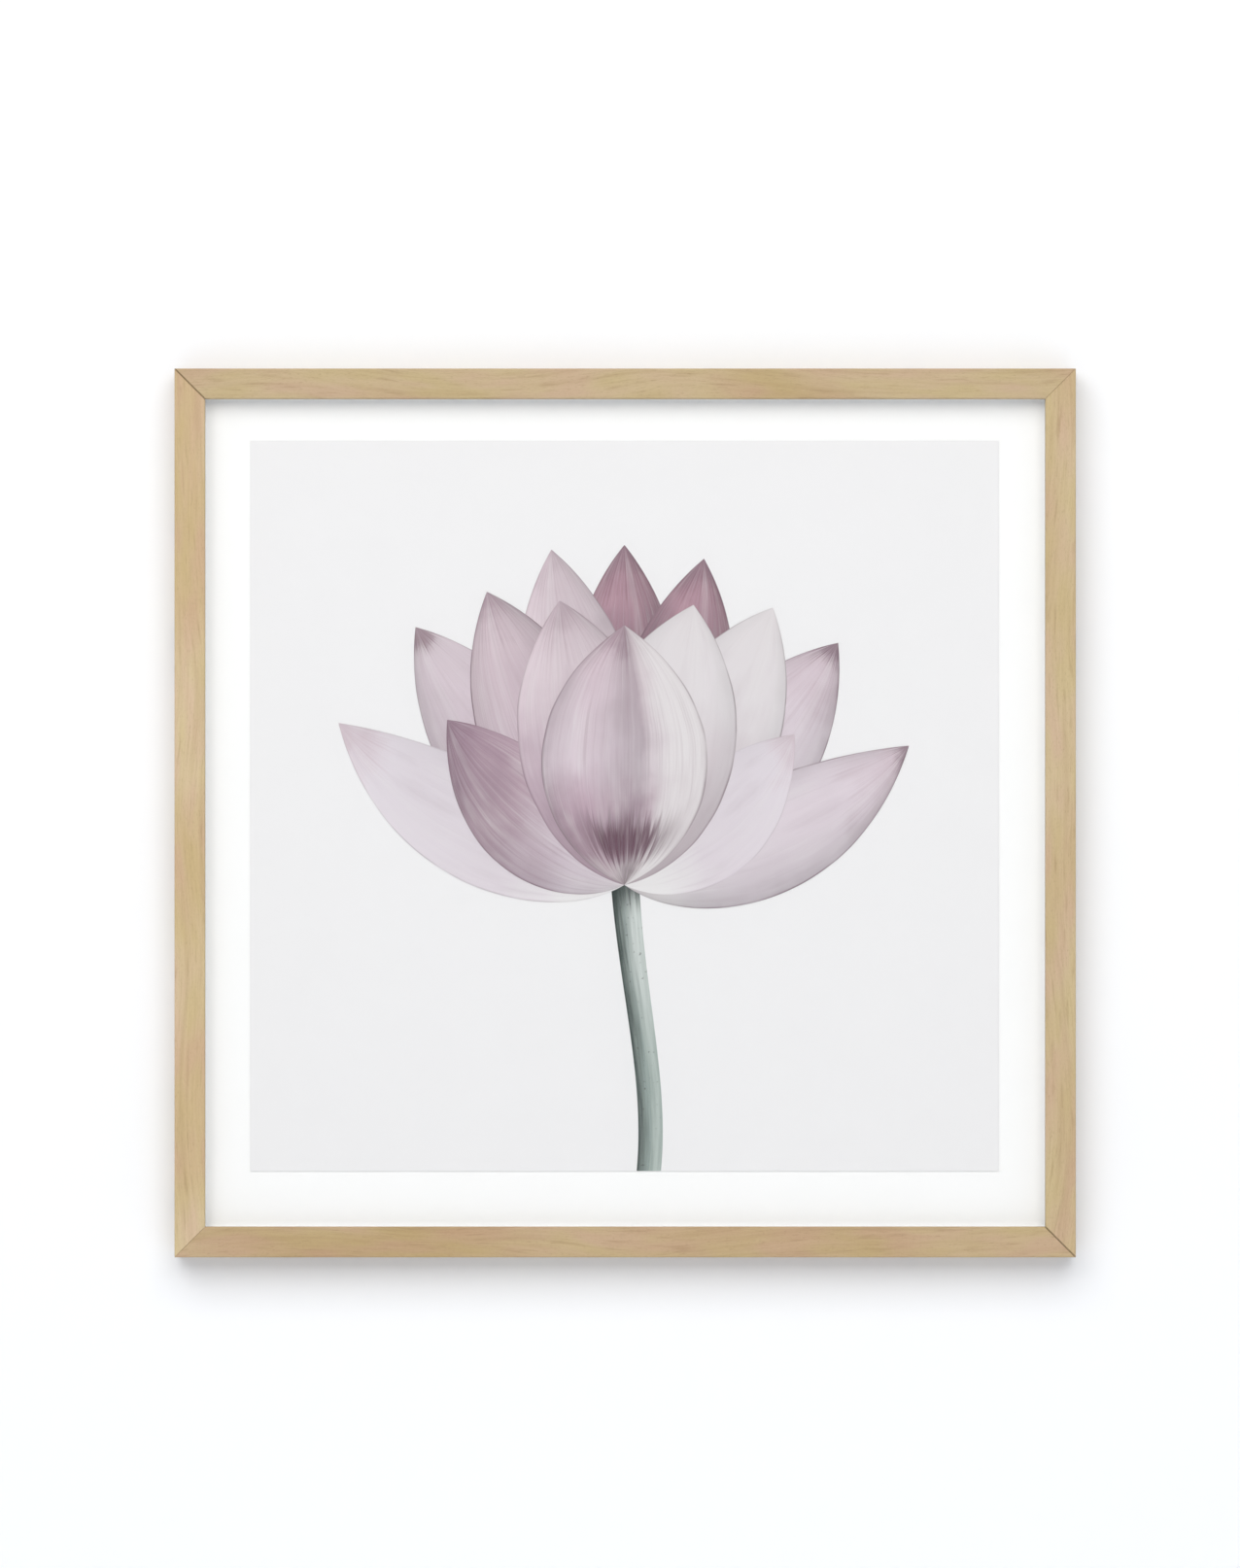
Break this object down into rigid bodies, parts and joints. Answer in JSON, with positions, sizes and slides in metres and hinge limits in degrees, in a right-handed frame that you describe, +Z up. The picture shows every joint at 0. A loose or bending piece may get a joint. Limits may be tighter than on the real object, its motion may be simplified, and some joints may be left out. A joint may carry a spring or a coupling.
{
  "type": "floating picture frame",
  "caption": "Pale oak box frame with clear glazing, a flower print float-mounted on white board, turn-button back and ring hangers.",
  "frame": {"origin": "centre of the whole object's bounding box", "axes": "+X to the right as seen from the front, the face looks along -Y, +Z up"},
  "size_m": [0.592, 0.028, 0.584],
  "materials": {
    "oak": "pale natural oak, fine straight grain, matt oil",
    "v_nail_steel": "bright rolled steel strip",
    "glazing": "clear acrylic sheet, polished",
    "spacer": "white extruded plastic",
    "mount_board": "white museum board, smooth matt face",
    "riser_board": "thin white card",
    "hinge_tissue": "Japanese tissue",
    "art_paper": "cool grey-white cotton paper, matt print",
    "foam_board": "white paper-faced foam core",
    "fibreboard": "smooth medium-density fibreboard",
    "plated_steel": "nickel-plated pressed steel",
    "ring_steel": "nickel-plated wire",
    "screw_steel": "bright zinc plate",
    "bumper_rubber": "matt grey polyurethane rubber"
  },
  "bodies": {
    "frame": {"rail_bottom": "oak", "rail_right": "oak", "rail_top": "oak", "rail_left": "oak", "corner_v_nails": "v_nail_steel", "glazing": "glazing", "spacer_bottom": "spacer", "spacer_right": "spacer", "spacer_top": "spacer", "spacer_left": "spacer", "mount_board": "mount_board", "print_riser": "riser_board", "print_hinge_left": "hinge_tissue", "print_hinge_right": "hinge_tissue", "art_print": "art_paper", "foam_board": "foam_board", "backing_board": "fibreboard", "turn_button_screws": "screw_steel", "hanger_strap_left": "plated_steel", "hanger_strap_right": "plated_steel", "hanger_screws": "screw_steel", "bumper_left": "bumper_rubber", "bumper_right": "bumper_rubber"},
    "turn_button_bottom_left": {"turn_button_bottom_left": "plated_steel"},
    "turn_button_bottom_right": {"turn_button_bottom_right": "plated_steel"},
    "turn_button_right_lower": {"turn_button_right_lower": "plated_steel"},
    "turn_button_right_upper": {"turn_button_right_upper": "plated_steel"},
    "turn_button_top_right": {"turn_button_top_right": "plated_steel"},
    "turn_button_top_left": {"turn_button_top_left": "plated_steel"},
    "turn_button_left_upper": {"turn_button_left_upper": "plated_steel"},
    "turn_button_left_lower": {"turn_button_left_lower": "plated_steel"},
    "d_ring_left": {"d_ring_left": "ring_steel"},
    "d_ring_right": {"d_ring_right": "ring_steel"}
  },
  "joints": [
    {"name": "turn_button_bottom_left_turn", "type": "hinge", "parent": "frame", "child": "turn_button_bottom_left", "pos_m": [-0.19, 0.0107, -0.285], "axis": [0, 1, 0], "continuous": true},
    {"name": "turn_button_bottom_right_turn", "type": "hinge", "parent": "frame", "child": "turn_button_bottom_right", "pos_m": [0.19, 0.0107, -0.285], "axis": [0, 1, 0], "continuous": true},
    {"name": "turn_button_right_lower_turn", "type": "hinge", "parent": "frame", "child": "turn_button_right_lower", "pos_m": [0.289, 0.0107, -0.19], "axis": [0, 1, 0], "continuous": true},
    {"name": "turn_button_right_upper_turn", "type": "hinge", "parent": "frame", "child": "turn_button_right_upper", "pos_m": [0.289, 0.0107, 0.19], "axis": [0, 1, 0], "continuous": true},
    {"name": "turn_button_top_right_turn", "type": "hinge", "parent": "frame", "child": "turn_button_top_right", "pos_m": [0.19, 0.0107, 0.285], "axis": [0, 1, 0], "continuous": true},
    {"name": "turn_button_top_left_turn", "type": "hinge", "parent": "frame", "child": "turn_button_top_left", "pos_m": [-0.19, 0.0107, 0.285], "axis": [0, 1, 0], "continuous": true},
    {"name": "turn_button_left_upper_turn", "type": "hinge", "parent": "frame", "child": "turn_button_left_upper", "pos_m": [-0.289, 0.0107, 0.19], "axis": [0, 1, 0], "continuous": true},
    {"name": "turn_button_left_lower_turn", "type": "hinge", "parent": "frame", "child": "turn_button_left_lower", "pos_m": [-0.289, 0.0107, -0.19], "axis": [0, 1, 0], "continuous": true},
    {"name": "d_ring_left_swing", "type": "hinge", "parent": "frame", "child": "d_ring_left", "pos_m": [-0.2875, 0.01193, 0.112], "axis": [-1, 0, 0], "range_deg": [0, 178]},
    {"name": "d_ring_right_swing", "type": "hinge", "parent": "frame", "child": "d_ring_right", "pos_m": [0.2875, 0.01193, 0.112], "axis": [-1, 0, 0], "range_deg": [0, 178]}
  ]
}
